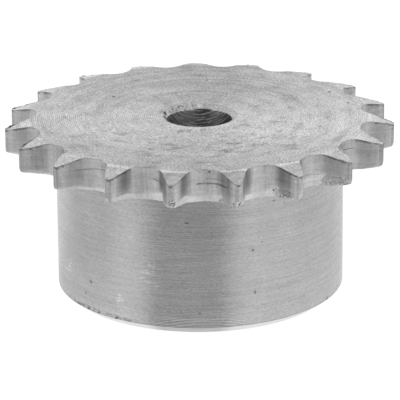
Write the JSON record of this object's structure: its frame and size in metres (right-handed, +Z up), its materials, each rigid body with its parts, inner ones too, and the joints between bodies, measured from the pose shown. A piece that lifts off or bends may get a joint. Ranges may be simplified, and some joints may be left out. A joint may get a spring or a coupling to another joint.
{
  "type": "chain sprocket",
  "caption": "Steel roller-chain sprocket with bevelled teeth around a flat plate, a round hub on one side and a plain pilot bore.",
  "frame": {"origin": "middle of the hub's end face, on the axis of the bore", "axes": "+Z up the axis of the bore from the hub to the toothed plate, -Y through the middle of a tooth gap"},
  "size_m": [0.0608, 0.0606, 0.0282],
  "materials": {
    "turned_steel": "bare machined steel, fine turning marks, dull grey with light stains"
  },
  "bodies": {
    "root": {"sprocket": "turned_steel"}
  },
  "joints": []
}
